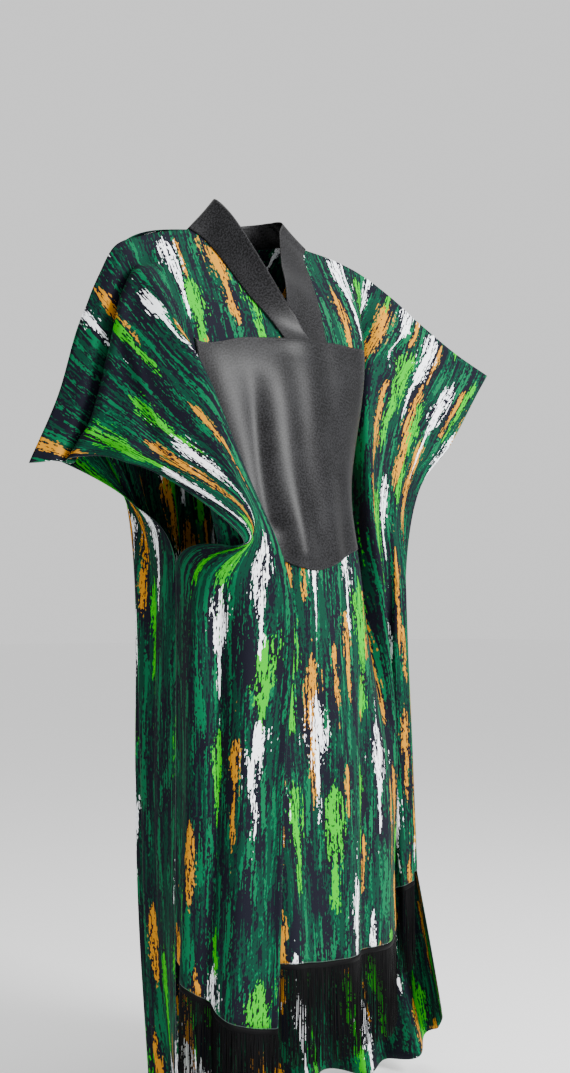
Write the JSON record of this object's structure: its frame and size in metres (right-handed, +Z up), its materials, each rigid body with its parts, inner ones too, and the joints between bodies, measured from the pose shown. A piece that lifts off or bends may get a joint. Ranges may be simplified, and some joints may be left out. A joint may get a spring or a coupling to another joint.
{
  "type": "kaftan",
  "caption": "Long wide batwing kaftan of printed cotton with a crossed satin collar, satin chest panel and fringed front hem, in its hanging worn form with one arm down and one held out.",
  "frame": {"origin": "between the shoulders at the base of the neck, on the line where front and back meet", "axes": "+Z up, +X towards the wearer's left, -Y towards the front"},
  "size_m": [1.0022, 0.4013, 1.5547],
  "materials": {
    "printed_cotton": "matt printed plain weave",
    "black_satin": "soft satin sheen",
    "black_fringe": "loose twisted yarn"
  },
  "bodies": {
    "root": {"front": "printed_cotton", "back": "printed_cotton", "chest_panel": "black_satin", "collar_right": "black_satin", "collar_left": "black_satin", "fringe": "black_fringe"}
  },
  "joints": []
}
